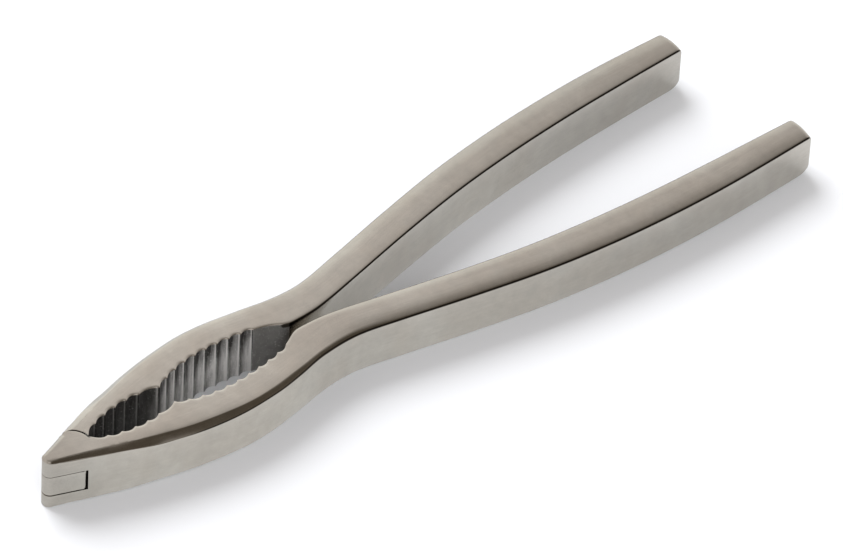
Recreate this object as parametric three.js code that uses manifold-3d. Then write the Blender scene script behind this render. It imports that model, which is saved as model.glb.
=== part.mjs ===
// A plier-type nutcracker, lying flat: two cast steel arms hinged at the tip.
// The fork arm has two cheeks at its tip, the tongue arm has one tongue between them,
// and a blind pin, pressed in from below, holds the two together.
//
// Millimetres, +Z up, +X from the hinge to the handle ends, +Y to the tongue arm's side.
// The model is drawn with x = 0 at the tip, then moved so that the origin is the middle
// of the footprint. Both arms follow the same plan, mirrored about y = 0.

import * as THREE from "three";
import { mergeVertices } from "three/addons/utils/BufferGeometryUtils.js";
import Module from "manifold-3d";

const wasm = await Module();
wasm.setup();

// ---- driving dimensions -------------------------------------------------------------

const FORK_LENGTH = 173.4; // tip to the end of the fork arm's handle
const TONGUE_LENGTH = 168.8; // the tongue arm is a little shorter
const HINGE_HEIGHT = 12.2; // thickness over the hinge
const WAIST_HEIGHT = 11.4; // thickness where jaw turns into handle
const END_HEIGHT = 10.6; // thickness at the handle ends

const PIVOT_X = 6.6;
const KNUCKLE_RADIUS = 3.75; // round ends of cheeks and tongue, about the pivot
const KNUCKLE_GAP = 0.15; // clearance between moving faces of the hinge
const TONGUE_BOTTOM = 3.1;
const TONGUE_TOP = 8.2;
const NOSE_RADIUS = 1.6;
const NOSE_SLOPE = 0.4; // how fast the nose widens, half width per length

const PIN_RADIUS = 2;
const PIN_PRESS_GAP = 0.05; // radial, in the fork's cheeks
const PIN_RUNNING_GAP = 0.08; // radial, in the tongue
const PIN_BOTTOM = 0.1;
const PIN_TOP = 10.5;
const PIN_CHAMFER = 0.3;
const ROUND_SEGMENTS = 64;

// Flutes are hollows of round section cut upright into the jaws, in runs of even pitch.
const FLUTE_DEPTH = 0.5;
const STEPS_PER_FLUTE = 6;
const FLUTE_RUNS = [
  { start: 10.9, pitch: 2.8, count: 5 }, // small pocket
  { start: 24.9, pitch: 4.38, count: 1 }, // one wide hollow before the point
  { start: 29.28, pitch: 2.63, count: 9 }, // large pocket
];
const FORK_EXTRA_FLUTES = 1; // the fork arm's large pocket has one more flute
const JAW_END_X = 58.4; // corner where the large pocket turns into the throat
const THROAT_END_X = 69;

const END_PLAN_RADIUS = 0.5; // corners of the handle end, seen from above
const END_TOP_RADIUS = 1.2; // end edge, seen from the side
const END_BOTTOM_RADIUS = 2.6;

// Half widths in plan: [distance from the tip, distance from the middle line].
const OUTER_EDGE = [
  [8.5, 4.4],
  [18.5, 7.9],
  [28.5, 10.4],
  [38.5, 11.65],
  [46.5, 11.4],
  [53.5, 10.3],
  [60.5, 8.95],
  [68.5, 8.75],
  [78.5, 10.75],
  [93.5, 14.1],
  [108.5, 17.05],
  [123.5, 19],
  [138.5, 20.05],
  [153.5, 20.3],
  [173.4, 19.7],
];
const SMALL_POCKET = [
  [10.35, 0],
  [13.5, 1.7],
  [18, 2.8],
  [22.5, 3.15],
  [26.3, 2.75],
  [29.28, 2.15],
];
const LARGE_POCKET = [
  [29.28, 2.15],
  [32.4, 3.4],
  [36.4, 4.4],
  [41.5, 4.8],
  [47, 4.5],
  [52, 3.8],
  [55.5, 2.9],
  [58.4, 1.35],
];
const HANDLE_INSIDE = [
  [58.4, 1.35],
  [60.2, 0.85],
  [65, 0.9],
  [70, 1.65],
  [78.5, 3.5],
  [93.5, 6.8],
  [108.5, 9.6],
  [123.5, 11.5],
  [138.5, 12.7],
  [153.5, 13.35],
  [173.4, 13.9],
];

// How far the top and bottom faces roll down at the outer edge, and over what width.
const OUTER_DROP = [
  [0, 0],
  [7, 0.1],
  [13, 0.85],
  [21, 1.85],
  [29, 1.85],
  [39, 1.3],
  [49, 0.75],
  [57, 0.9],
  [65, 0.95],
  [84, 0.7],
  [173.4, 0.7],
];
const OUTER_ROLL_WIDTH = 2.4;
const INNER_ROLL_WIDTH = 0.9;
const INNER_DROP = 0.35; // everywhere but round the knuckle
const BOTTOM_DROP_SHARE = 0.75; // the bottom face rolls up a little less

// ---- helpers ------------------------------------------------------------------------

// A smooth function through the given points, read as y at any x.
function through(points) {
  const curve = new THREE.SplineCurve(points.map(([x, y]) => new THREE.Vector2(x, y)));
  const samples = curve.getPoints(points.length * 12);
  return (x) => {
    const next = samples.findIndex((p) => p.x >= x);
    if (next <= 0) return next === 0 ? samples[0].y : samples.at(-1).y;
    const a = samples[next - 1];
    const b = samples[next];
    return THREE.MathUtils.mapLinear(x, a.x, b.x, a.y, b.y);
  };
}

// How much a rounded corner takes away at a distance from its edge.
function cornerCut(radius, distance) {
  if (distance >= radius) return 0;
  return radius - Math.sqrt(radius ** 2 - (radius - distance) ** 2);
}

function toSolid(geometry) {
  const bare = geometry.clone();
  bare.deleteAttribute("normal");
  bare.deleteAttribute("uv");
  const merged = mergeVertices(bare, 1e-4);
  return new wasm.Manifold(
    new wasm.Mesh({
      numProp: 3,
      vertProperties: new Float32Array(merged.attributes.position.array),
      triVerts: new Uint32Array(merged.index.array),
    }),
  );
}

function toGeometry(solid) {
  const mesh = solid.getMesh();
  const geometry = new THREE.BufferGeometry();
  geometry.setAttribute("position", new THREE.BufferAttribute(mesh.vertProperties, 3));
  geometry.setIndex(new THREE.BufferAttribute(mesh.triVerts, 1));
  geometry.computeVertexNormals();
  return geometry;
}

function extrudeBetween(shape, bottom, top) {
  const geometry = new THREE.ExtrudeGeometry(shape, {
    depth: top - bottom,
    bevelEnabled: false,
    curveSegments: ROUND_SEGMENTS,
  });
  return geometry.translate(0, 0, bottom);
}

// ---- plan of one arm ----------------------------------------------------------------

const outerSpline = through(OUTER_EDGE);
const smallPocket = through(SMALL_POCKET);
const largePocket = through(LARGE_POCKET);
const handleInside = through(HANDLE_INSIDE);
const outerDrop = through(OUTER_DROP);

// The nose: a blunt round tip that runs into two straight flanks.
const NOSE_ANGLE = Math.atan(NOSE_SLOPE);
const FLANK_START_X = NOSE_RADIUS * (1 - Math.sin(NOSE_ANGLE));
const FLANK_START_Y = NOSE_RADIUS * Math.cos(NOSE_ANGLE);

function outerEdge(x) {
  if (x < FLANK_START_X) {
    return Math.sqrt(Math.max(0, NOSE_RADIUS ** 2 - (NOSE_RADIUS - x) ** 2));
  }
  if (x < OUTER_EDGE[0][0]) {
    const [endX, endY] = OUTER_EDGE[0];
    return THREE.MathUtils.mapLinear(x, FLANK_START_X, endX, FLANK_START_Y, endY);
  }
  return outerSpline(x);
}

function jawEdge(x) {
  const pocket = x < LARGE_POCKET[0][0] ? smallPocket : largePocket;
  return pocket(x);
}

function fluteRuns(extra) {
  const runs = FLUTE_RUNS.map((run) => ({ ...run }));
  runs.at(-1).count += extra;
  return runs;
}

// Points along the fluted jaw: from ridge to ridge, each flute a shallow round hollow.
function flutedEdge(extra) {
  const points = [];
  for (const { start, pitch, count } of fluteRuns(extra)) {
    for (let i = 0; i < count * STEPS_PER_FLUTE; i++) {
      const turns = i / STEPS_PER_FLUTE;
      const x = start + turns * pitch;
      const across = 2 * (turns % 1) - 1;
      points.push(new THREE.Vector2(x, jawEdge(x) + FLUTE_DEPTH * (1 - across ** 2)));
    }
  }
  return points;
}

// Where the knuckle's circle meets the flank of the nose.
const flankDistance =
  (FLANK_START_Y + (PIVOT_X - FLANK_START_X) * NOSE_SLOPE) * Math.cos(NOSE_ANGLE);
const KNUCKLE_ANGLE =
  Math.PI / 2 + NOSE_ANGLE - Math.acos(flankDistance / KNUCKLE_RADIUS);

// Each station is one line across the arm, from a point on the inside to one outside.
// Inside points of the nose and knuckle lie beyond the middle line, at negative y.
function stations(length, extraFlutes) {
  const list = [];
  const add = (insideX, insideY, outsideX) => {
    list.push({
      inside: new THREE.Vector2(insideX, insideY),
      outside: new THREE.Vector2(outsideX, outerEdge(outsideX)),
    });
  };
  const addPlain = (fromX, toX, steps, edge) => {
    for (let i = 0; i < steps; i++) {
      const x = THREE.MathUtils.lerp(fromX, toX, i / steps);
      add(x, edge(x), x);
    }
  };
  const noseSteps = 6;
  for (let i = 0; i <= noseSteps; i++) {
    const x = FLANK_START_X * (1 - Math.cos(((i / noseSteps) * Math.PI) / 2)) + 0.02;
    add(x, -outerEdge(x), x);
  }
  const flankEndX = PIVOT_X + KNUCKLE_RADIUS * Math.cos(KNUCKLE_ANGLE);
  const flankSteps = 3;
  for (let i = 1; i < flankSteps; i++) {
    const x = THREE.MathUtils.lerp(FLANK_START_X, flankEndX, i / flankSteps);
    add(x, -outerEdge(x), x);
  }
  const knuckleSteps = 10;
  for (let i = 0; i <= knuckleSteps; i++) {
    const angle = KNUCKLE_ANGLE * (1 - i / knuckleSteps);
    const x = PIVOT_X + KNUCKLE_RADIUS * Math.cos(angle);
    const outsideX = THREE.MathUtils.lerp(flankEndX, FLUTE_RUNS[0].start - 0.3, i / knuckleSteps);
    add(x, -KNUCKLE_RADIUS * Math.sin(angle), outsideX);
  }
  for (const point of flutedEdge(extraFlutes)) {
    add(point.x, point.y, point.x);
  }
  const lastRun = fluteRuns(extraFlutes).at(-1);
  addPlain(lastRun.start + lastRun.count * lastRun.pitch, JAW_END_X, 8, jawEdge);
  addPlain(JAW_END_X, THROAT_END_X, 8, handleInside);
  addPlain(THROAT_END_X, length - END_BOTTOM_RADIUS, 26, handleInside);
  const endSteps = 6;
  for (let i = 0; i <= endSteps; i++) {
    const toEnd = END_BOTTOM_RADIUS * (1 - Math.sin(((i / endSteps) * Math.PI) / 2));
    const cut = cornerCut(END_PLAN_RADIUS, toEnd);
    const x = length - toEnd;
    add(x, handleInside(x) + cut, x);
    list.at(-1).outside.y -= cut;
  }
  return list;
}

// ---- section of one arm -------------------------------------------------------------

function crestHeight(x) {
  if (x < OUTER_EDGE[0][0]) return HINGE_HEIGHT;
  if (x < JAW_END_X) {
    return THREE.MathUtils.mapLinear(x, OUTER_EDGE[0][0], JAW_END_X, HINGE_HEIGHT, WAIST_HEIGHT);
  }
  return THREE.MathUtils.mapLinear(x, JAW_END_X, FORK_LENGTH, WAIST_HEIGHT, END_HEIGHT);
}

function roll(drop, width, distance) {
  if (distance >= width) return 0;
  return drop * (1 - distance / width) ** 2;
}

// How far the face lies below its crest, at a point between the two edges.
function faceDrop(x, fromInside, fromOutside) {
  const knuckleEnd = PIVOT_X + KNUCKLE_RADIUS;
  const edgeShare = THREE.MathUtils.smoothstep(x, knuckleEnd, 1.5 * knuckleEnd);
  return (
    roll(outerDrop(x), OUTER_ROLL_WIDTH, fromOutside) +
    roll(INNER_DROP * edgeShare, INNER_ROLL_WIDTH, fromInside)
  );
}

// A box is bent into the arm: its length follows the stations, its lanes run from the
// inside edge to the outside edge, and its top and bottom faces take the rolled crown.
function armBlank(length, extraFlutes) {
  const line = stations(length, extraFlutes);
  const innerLanes = [0, 0.45, 1].map((k) => k * INNER_ROLL_WIDTH);
  const outerLanes = [1, 0.6, 0.3, 0].map((k) => k * OUTER_ROLL_WIDTH);
  const lanes = innerLanes.length + outerLanes.length - 1;
  const box = new THREE.BoxGeometry(1, 1, 1, line.length - 1, lanes, 1);
  const place = box.attributes.position;
  for (let i = 0; i < place.count; i++) {
    const { inside, outside } = line[Math.round((place.getX(i) + 0.5) * (line.length - 1))];
    const lane = Math.round((place.getY(i) + 0.5) * lanes);
    const width = outside.distanceTo(inside);
    const squeeze = Math.min(1, width / (2 * OUTER_ROLL_WIDTH + INNER_ROLL_WIDTH));
    const fromInside =
      lane < innerLanes.length
        ? innerLanes[lane] * squeeze
        : width - outerLanes[lane - innerLanes.length] * squeeze;
    const at = inside.clone().lerp(outside, fromInside / width);
    const drop = faceDrop(at.x, fromInside, width - fromInside);
    const toEnd = length - at.x;
    const z =
      place.getZ(i) > 0
        ? crestHeight(at.x) - drop - cornerCut(END_TOP_RADIUS, toEnd)
        : BOTTOM_DROP_SHARE * drop + cornerCut(END_BOTTOM_RADIUS, toEnd);
    place.setXYZ(i, at.x, at.y, z);
  }
  return toSolid(box);
}

// ---- hinge cutters ------------------------------------------------------------------

// Clears room for the other arm's knuckle and nose, between two heights.
function knuckleRoom(bottom, top) {
  const radius = KNUCKLE_RADIUS + KNUCKLE_GAP;
  const turn = Math.PI / 2 + NOSE_ANGLE - Math.acos(flankDistance / radius);
  const edge = new THREE.Vector2(
    PIVOT_X + radius * Math.cos(turn),
    radius * Math.sin(turn),
  );
  const reach = 3 * KNUCKLE_RADIUS;
  const shape = new THREE.Shape();
  shape.moveTo(-reach, -reach);
  shape.lineTo(edge.x, -reach);
  shape.lineTo(edge.x, -edge.y);
  shape.absarc(PIVOT_X, 0, radius, -turn, turn, false);
  shape.lineTo(edge.x, reach);
  shape.lineTo(-reach, reach);
  shape.closePath();
  return toSolid(extrudeBetween(shape, bottom, top));
}

function pinBore(radius, bottom, top) {
  const cylinder = new THREE.CylinderGeometry(radius, radius, top - bottom, ROUND_SEGMENTS);
  cylinder.rotateX(Math.PI / 2);
  cylinder.translate(PIVOT_X, 0, (bottom + top) / 2);
  return toSolid(cylinder);
}

// ---- sub-parts ----------------------------------------------------------------------

const BEYOND = 2; // how far a cutter runs past a face
const steel = { color: 0xb5aea2, roughness: 0.34, metalness: 1 };

function subPart(name, geometry, look) {
  const mesh = new THREE.Mesh(geometry, new THREE.MeshStandardMaterial(look));
  mesh.name = name;
  return mesh;
}

// The arm on the -Y side. Its slot takes the tongue; its bore is blind at the top.
function forkArm() {
  const mirrored = armBlank(FORK_LENGTH, FORK_EXTRA_FLUTES)
    .mirror([0, 1, 0])
    .subtract(knuckleRoom(TONGUE_BOTTOM, TONGUE_TOP))
    .subtract(pinBore(PIN_RADIUS + PIN_PRESS_GAP, -BEYOND, PIN_TOP + PIN_PRESS_GAP));
  return subPart("fork_arm", toGeometry(mirrored), steel);
}

// The arm on the +Y side. Above and below its tongue it clears the fork's cheeks.
function tongueArm() {
  const solid = armBlank(TONGUE_LENGTH, 0)
    .subtract(knuckleRoom(-BEYOND, TONGUE_BOTTOM + KNUCKLE_GAP))
    .subtract(knuckleRoom(TONGUE_TOP - KNUCKLE_GAP, HINGE_HEIGHT + BEYOND))
    .subtract(pinBore(PIN_RADIUS + PIN_RUNNING_GAP, -BEYOND, HINGE_HEIGHT + BEYOND));
  return subPart("tongue_arm", toGeometry(solid), steel);
}

// A plain steel pin with chamfered ends, its lower end nearly flush with the arm.
function hingePin() {
  const profile = [
    new THREE.Vector2(0, PIN_BOTTOM),
    new THREE.Vector2(PIN_RADIUS - PIN_CHAMFER, PIN_BOTTOM),
    new THREE.Vector2(PIN_RADIUS, PIN_BOTTOM + PIN_CHAMFER),
    new THREE.Vector2(PIN_RADIUS, PIN_TOP - PIN_CHAMFER),
    new THREE.Vector2(PIN_RADIUS - PIN_CHAMFER, PIN_TOP),
    new THREE.Vector2(0, PIN_TOP),
  ];
  const lathe = new THREE.LatheGeometry(profile, ROUND_SEGMENTS);
  lathe.rotateX(Math.PI / 2);
  lathe.translate(PIVOT_X, 0, 0);
  const geometry = toGeometry(toSolid(lathe));
  return subPart("hinge_pin", geometry, { color: 0x9a958c, roughness: 0.3, metalness: 1 });
}

const group = new THREE.Group();
group.add(forkArm(), tongueArm(), hingePin());
group.position.x = -FORK_LENGTH / 2;

export default group;
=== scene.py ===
# %% [markdown]
# # A plier-type nutcracker
#
# Two cast steel arms lie flat on a table. They are hinged at the tip by a hidden pin.
# Near the hinge each arm has a fluted jaw, and behind the jaw a long curved handle.
# This lesson builds the polished model around the engineer's model, which is loaded
# first as a fixed frame. Lengths are in millimetres and become metres in one place.

# %% Load the frame
import math

import bmesh
import bpy
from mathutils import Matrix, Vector


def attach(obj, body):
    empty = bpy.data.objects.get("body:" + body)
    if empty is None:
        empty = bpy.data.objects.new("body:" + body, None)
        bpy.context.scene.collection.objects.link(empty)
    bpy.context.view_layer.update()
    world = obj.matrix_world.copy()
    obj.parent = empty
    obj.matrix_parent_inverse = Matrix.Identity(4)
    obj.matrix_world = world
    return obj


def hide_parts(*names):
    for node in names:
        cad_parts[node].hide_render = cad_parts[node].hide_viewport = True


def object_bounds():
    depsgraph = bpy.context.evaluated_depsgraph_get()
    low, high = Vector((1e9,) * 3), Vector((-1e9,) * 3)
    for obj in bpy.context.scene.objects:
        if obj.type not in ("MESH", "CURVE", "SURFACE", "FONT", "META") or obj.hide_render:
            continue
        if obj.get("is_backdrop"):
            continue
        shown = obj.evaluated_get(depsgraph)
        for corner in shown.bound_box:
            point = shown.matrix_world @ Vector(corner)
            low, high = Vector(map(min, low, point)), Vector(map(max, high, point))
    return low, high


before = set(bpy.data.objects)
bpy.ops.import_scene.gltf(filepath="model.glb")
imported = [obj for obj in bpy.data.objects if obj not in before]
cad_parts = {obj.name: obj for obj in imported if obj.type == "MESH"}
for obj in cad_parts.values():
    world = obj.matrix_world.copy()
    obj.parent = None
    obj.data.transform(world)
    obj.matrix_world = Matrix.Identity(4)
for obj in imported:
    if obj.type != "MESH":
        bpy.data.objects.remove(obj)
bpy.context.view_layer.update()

# %% [markdown]
# ## The camera
#
# The camera stands far off with a long lens, so the far arm looks as big as the near one.
# It looks down at about 45 degrees, from the hinge end.
# It could be turned by hand, but here its axes are worked out from three angles, so
# each angle means one thing: where it stands, how high, and how far it leans.

# %% Place the camera
MM = 0.001
CAMERA_AIM = Vector((8.273, 3.922, 0)) * MM
CAMERA_DISTANCE = 1732.5 * MM
CAMERA_AZIMUTH = math.radians(-41.76)
CAMERA_ELEVATION = math.radians(45.317)
CAMERA_ROLL = math.radians(3.359)
CAMERA_LENS_MM = 384.7


def camera_axes(azimuth, elevation, roll):
    """Right, up and backward axes of a camera that looks down at an elevation."""
    back = Vector((math.sin(azimuth) * math.cos(elevation),
                   -math.cos(azimuth) * math.cos(elevation),
                   math.sin(elevation)))
    level = Vector((math.cos(azimuth), math.sin(azimuth), 0))
    upright = back.cross(level)
    right = level * math.cos(roll) + upright * math.sin(roll)
    return right, back.cross(right), back


right, up, back = camera_axes(CAMERA_AZIMUTH, CAMERA_ELEVATION, CAMERA_ROLL)
bpy.ops.object.camera_add()
camera = bpy.context.object
camera.name = "camera"
for column, axis in enumerate((right, up, back, CAMERA_AIM + back * CAMERA_DISTANCE)):
    for row in range(3):
        camera.matrix_world[row][column] = axis[row]
camera.data.lens = CAMERA_LENS_MM
camera.data.sensor_width = 36
camera.data.sensor_fit = "HORIZONTAL"
camera.data.clip_end = 20
bpy.context.scene.camera = camera
print("camera at", [round(1000 * c) for c in camera.matrix_world.translation], "mm")

# %% [markdown]
# ## Floor and light
#
# Polished steel shows its surroundings, so they matter more here than any lamp.
# The floor is a broad white sheet. The room is bright behind the piece and dark on the
# camera's side and to its right. The flat tops mirror the bright side, and the edges
# ground at a slope mirror the dark side as a brown band. Two broad soft lamps are
# hidden from reflections: the key stands behind and gives the shadow in front of each
# arm, and the fill stands in front and keeps that shadow pale.

# %% Lay the floor
FLOOR_SIZE = 6
bpy.ops.object.select_all(action="DESELECT")
bpy.ops.mesh.primitive_plane_add(size=FLOOR_SIZE, location=(0, 0, 0))
floor = bpy.context.object
floor.name = "floor"
floor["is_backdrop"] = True
print("floor", FLOOR_SIZE, "m square")

# %% [markdown]
# A small lamp throws a hard shadow and a wide one a soft shadow, so both lamps are wide
# discs. Their strength sets how white the sheet is.

# %% Hang the lamps
def hang_lamp(name, place, size, watts):
    """A round soft lamp that looks at the middle of the floor."""
    bpy.ops.object.light_add(type="AREA", location=place)
    lamp = bpy.context.object
    lamp.name = name
    lamp.data.shape = "DISK"
    lamp.data.size = size
    lamp.data.energy = watts
    lamp.rotation_euler = Vector(place).to_track_quat("Z", "Y").to_euler()
    lamp.visible_glossy = False
    print(name, watts, "W,", size, "m wide")


hang_lamp("key_lamp", (0.02, 1.2, 1.15), 1.5, 37.0)
hang_lamp("fill_lamp", (-0.25, -1.3, 1.4), 1.8, 16.5)

# %% [markdown]
# ### Writing node maths as sums
#
# A shader is a net of nodes. Clicking one together by hand is clear for ten nodes and
# hard to read for sixty, so two small classes let a sum be written as a sum. A Wire is
# one value on its way between nodes, and a Graph adds every other kind of node.

# %% A value between nodes
class Wire:
    """A value between nodes. A sum or a product with it adds a Math node."""

    def __init__(self, graph, socket):
        self.graph = graph
        self.socket = socket

    def math(self, operation, first, second):
        return self.graph.add("Math", {"operation": operation}, {0: first, 1: second})

    def __add__(self, other):
        return self.math("ADD", self, other)

    def __sub__(self, other):
        return self.math("SUBTRACT", self, other)

    def __rsub__(self, other):
        return self.math("SUBTRACT", other, self)

    def __mul__(self, other):
        return self.math("MULTIPLY", self, other)

    __radd__ = __add__
    __rmul__ = __mul__


print("sums of a wire:", [name for name in vars(Wire) if name.endswith(("add__", "sub__", "mul__"))])

# %% [markdown]
# A Graph starts from an empty tree. It sets a node up and wires it in one line, and has
# short names for the nodes that this lesson uses most.

# %% A whole node tree
class Graph:
    """A node tree that is emptied and then filled from code."""

    def __init__(self, tree):
        self.tree = tree
        tree.nodes.clear()

    def add(self, kind, settings, sockets, output=0):
        """Adds a node, its settings first, and gives back one of its outputs."""
        node = self.tree.nodes.new("ShaderNode" + kind)
        for name, value in settings.items():
            setattr(node, name, value)
        for name, value in sockets.items():
            if isinstance(value, Wire):
                self.tree.links.new(value.socket, node.inputs[name])
            else:
                node.inputs[name].default_value = value
        return Wire(self, node.outputs[output]) if node.outputs else node

    def part(self, vector, axis):
        """One of the three numbers of a vector."""
        return self.add("SeparateXYZ", {}, {0: vector}, output=axis)

    def step(self, value, low, high, low_gives=0.0, high_gives=1.0):
        """A smooth step between two values."""
        return self.add("MapRange", {"interpolation_type": "SMOOTHSTEP"}, {
            "Value": value, "From Min": low, "From Max": high,
            "To Min": low_gives, "To Max": high_gives})

    def noise(self, place, scale, detail=3.0, roughness=0.5):
        return self.add("TexNoise", {}, {
            "Vector": place, "Scale": scale, "Detail": detail, "Roughness": roughness})

    def attribute(self, name):
        return self.add("Attribute", {"attribute_name": name}, {}, output="Fac")

    def grey(self, value):
        return self.add("CombineColor", {}, {"Red": value, "Green": value, "Blue": value})

    def blend(self, share, first, second, how="MIX"):
        """Mixes two colours."""
        return self.add("Mix", {"data_type": "RGBA", "blend_type": how},
                        {0: share, 6: first, 7: second}, output=2)


print("node helpers:", [name for name in vars(Graph) if not name.startswith("_")])

# %% [markdown]
# ### The room
#
# The room is a background that changes with direction. Facing says how far a direction
# points back to the camera, sideways how far it points to the right. A window stands
# low behind the piece, the dark side is a black cloth, and a pale wall hangs high behind
# the camera, so that the tops look bright from the back as well.

# %% Light the room
WINDOW = (0.92, 0.9, 0.85, 1)
BRIGHT_ROOM = (0.668, 0.629, 0.598, 1)
DARK_ROOM = (0.08, 0.066, 0.05, 1)
LOW_WALL = (0.15, 0.127, 0.10, 1)
WINDOW_FACING = (-0.92, -0.74)
DARK_FACING = (-0.72, -0.04)
DARK_SIDEWAYS = (-0.35, -0.05)
DARK_BELOW = (0.995, 0.965)
LOW_BELOW = (0.5, 0.25)
FRONT_FACING = (0.45, 0.7)
FRONT_ABOVE = (0.3, 0.6)
world = bpy.data.worlds.new("room")
bpy.context.scene.world = world
world.use_nodes = True
room = Graph(world.node_tree)
direction = room.add("TexCoord", {}, {}, output="Generated")
toward_camera = (math.sin(CAMERA_AZIMUTH), -math.cos(CAMERA_AZIMUTH), 0)
facing = room.add("VectorMath", {"operation": "DOT_PRODUCT"},
                  {0: direction, 1: toward_camera}, output="Value")
height = room.part(direction, "Z")
to_the_right = (math.cos(CAMERA_AZIMUTH), math.sin(CAMERA_AZIMUTH), 0)
sideways = room.add("VectorMath", {"operation": "DOT_PRODUCT"},
                    {0: direction, 1: to_the_right}, output="Value")
shade = (room.step(facing, *DARK_FACING) * room.step(sideways, *DARK_SIDEWAYS)
         * room.step(height, *DARK_BELOW))
low = room.step(height, *LOW_BELOW)
high_front = room.step(facing, *FRONT_FACING) * room.step(height, *FRONT_ABOVE)
front = room.blend(high_front, room.blend(low, DARK_ROOM, LOW_WALL), BRIGHT_ROOM)
behind = room.blend(room.step(facing, *WINDOW_FACING), WINDOW, BRIGHT_ROOM)
walls = room.blend(shade, behind, front)
glow = room.add("Background", {}, {"Color": walls, "Strength": 1.0})
room.add("OutputWorld", {}, {"Surface": glow})
bpy.context.scene.view_settings.view_transform = "Standard"
print("room lit, dark toward", [round(c, 2) for c in toward_camera])

# %% [markdown]
# The sheet is matt board, so plain diffuse paint is enough. It is a little blue, as the
# light of the warm room would otherwise turn it yellow.

# %% Paint the floor
FLOOR_WHITE = (0.835, 0.855, 0.89, 1)
floor_paint = bpy.data.materials.new("white_board")
floor_paint.use_nodes = True
board = Graph(floor_paint.node_tree)
board_surface = board.add("BsdfDiffuse", {}, {"Color": FLOOR_WHITE, "Roughness": 0.4})
board.add("OutputMaterial", {}, {"Surface": board_surface})
floor.data.materials.append(floor_paint)
print("floor painted with", len(board.tree.nodes), "nodes")

# %% [markdown]
# ### A card for the upright sides
#
# The upright sides mirror the sheet right in front of them, where the shadow lies, so
# they would look dull. In a studio a pale card is held there to lift them. This card
# lies flat on the sheet and only reflections see it. It leaves out the nut pockets,
# which stay dark inside, and is fainter where the handles meet and under their ends.

# %% Lay the card
CARD_GLOW = (0.67, 0.67, 0.66, 1)
CARD_SHARE = 0.85
CARD_HEIGHT = 0.00002
POCKET_MIDDLE = (-0.052, 0, 0)
POCKET_SPREAD = (1 / 0.030, 1 / 0.0075, 0)
FORK_MIDDLE = (0.006, 0.001, 0)
FORK_SPREAD = (1 / 0.034, 1 / 0.013, 0)
HANDLE_FADE = (0.02, 0.06)
bpy.ops.object.select_all(action="DESELECT")
bpy.ops.mesh.primitive_plane_add(size=FLOOR_SIZE / 2, location=(0, 0, CARD_HEIGHT))
card = bpy.context.object
card.name = "card"
card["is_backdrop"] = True
card.visible_camera = card.visible_diffuse = card.visible_shadow = False
card_paint = bpy.data.materials.new("card")
card_paint.use_nodes = True
paper = Graph(card_paint.node_tree)
card_place = paper.add("TexCoord", {}, {}, output="Object")


def away_from(middle, spread):
    """0 in the middle of a long round patch of the card and 1 at its rim."""
    offset = paper.add("VectorMath", {"operation": "SUBTRACT"}, {0: card_place, 1: middle})
    scaled = paper.add("VectorMath", {"operation": "MULTIPLY"}, {0: offset, 1: spread})
    return paper.add("VectorMath", {"operation": "LENGTH"}, {0: scaled}, output="Value")


cover = (paper.step(away_from(POCKET_MIDDLE, POCKET_SPREAD), 0.8, 1.1, 0.0, CARD_SHARE)
         * paper.step(away_from(FORK_MIDDLE, FORK_SPREAD), 0.3, 1.2, 0.55, 1.0)
         * paper.step(paper.part(card_place, "X"), *HANDLE_FADE, 1.0, 0.6))
paper_surface = paper.add("MixShader", {}, {
    0: cover, 1: paper.add("BsdfTransparent", {}, {}),
    2: paper.add("Emission", {}, {"Color": CARD_GLOW, "Strength": 1.0})})
paper.add("OutputMaterial", {}, {"Surface": paper_surface})
card.data.materials.append(card_paint)
print("card", FLOOR_SIZE / 2, "m square")

# %% [markdown]
# ## The plan of an arm
#
# Seen from above, each arm is a strip between an outer and an inner edge. The edges
# are smooth curves through a few points, each one a distance from the tip and a
# distance from the middle line. Both arms share the plan, and one is the mirror image
# of the other. The flutes that grip the nut are shallow round hollows cut into the
# inner edge. A draughtsman would draw these curves with a spline, and so does this.

# %% Curves through points
FORK_LENGTH = 173.4
TONGUE_LENGTH = 168.8
PIVOT_X = 6.6
KNUCKLE_RADIUS = 3.75
NOSE_RADIUS = 1.6
NOSE_SLOPE = 0.4
JAW_END_X = 58.4
THROAT_END_X = 69
REFINE_STEPS = 3

OUTER_EDGE = [
    (8.5, 4.4), (18.5, 7.9), (28.5, 10.4), (38.5, 11.65), (46.5, 11.4), (53.5, 10.3),
    (60.5, 8.95), (68.5, 8.75), (78.5, 10.75), (93.5, 14.1), (108.5, 17.05),
    (123.5, 19), (138.5, 20.05), (153.5, 20.297), (173.4, 19.7)]
SMALL_POCKET = [
    (10.35, 0), (13.5, 1.7), (18, 2.8), (22.5, 3.15), (26.3, 2.75), (29.28, 2.15)]
LARGE_POCKET = [
    (29.28, 2.15), (32.4, 3.4), (36.4, 4.4), (41.5, 4.8), (47, 4.5), (52, 3.8),
    (55.5, 2.9), (58.4, 1.35)]
HANDLE_INSIDE = [
    (58.4, 1.35), (60.2, 0.85), (65, 0.9), (70, 1.65), (78.5, 3.5), (93.5, 6.8),
    (108.5, 9.6), (123.5, 11.5), (138.5, 12.7), (153.5, 13.35), (173.4, 13.9)]


def through(points):
    """A smooth curve (Catmull-Rom) through the points, as a function of x."""

    def at(x):
        i = max(0, min(len(points) - 2, sum(p[0] <= x for p in points) - 1))
        before, a, b, after = (points[max(0, min(len(points) - 1, i + k))]
                               for k in (-1, 0, 1, 2))
        t = max(0.0, min(1.0, (x - a[0]) / (b[0] - a[0])))
        for _ in range(REFINE_STEPS):
            slip = spline(before[0], a[0], b[0], after[0], t) - x
            t = max(0.0, min(1.0, t - slip / (b[0] - a[0])))
        return spline(before[1], a[1], b[1], after[1], t)

    return at


def spline(before, a, b, after, t):
    """One coordinate of a Catmull-Rom curve between a and b."""
    start, finish = (b - before) / 2, (after - a) / 2
    return (a + start * t + (3 * (b - a) - 2 * start - finish) * t ** 2
            + (2 * (a - b) + start + finish) * t ** 3)


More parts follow.
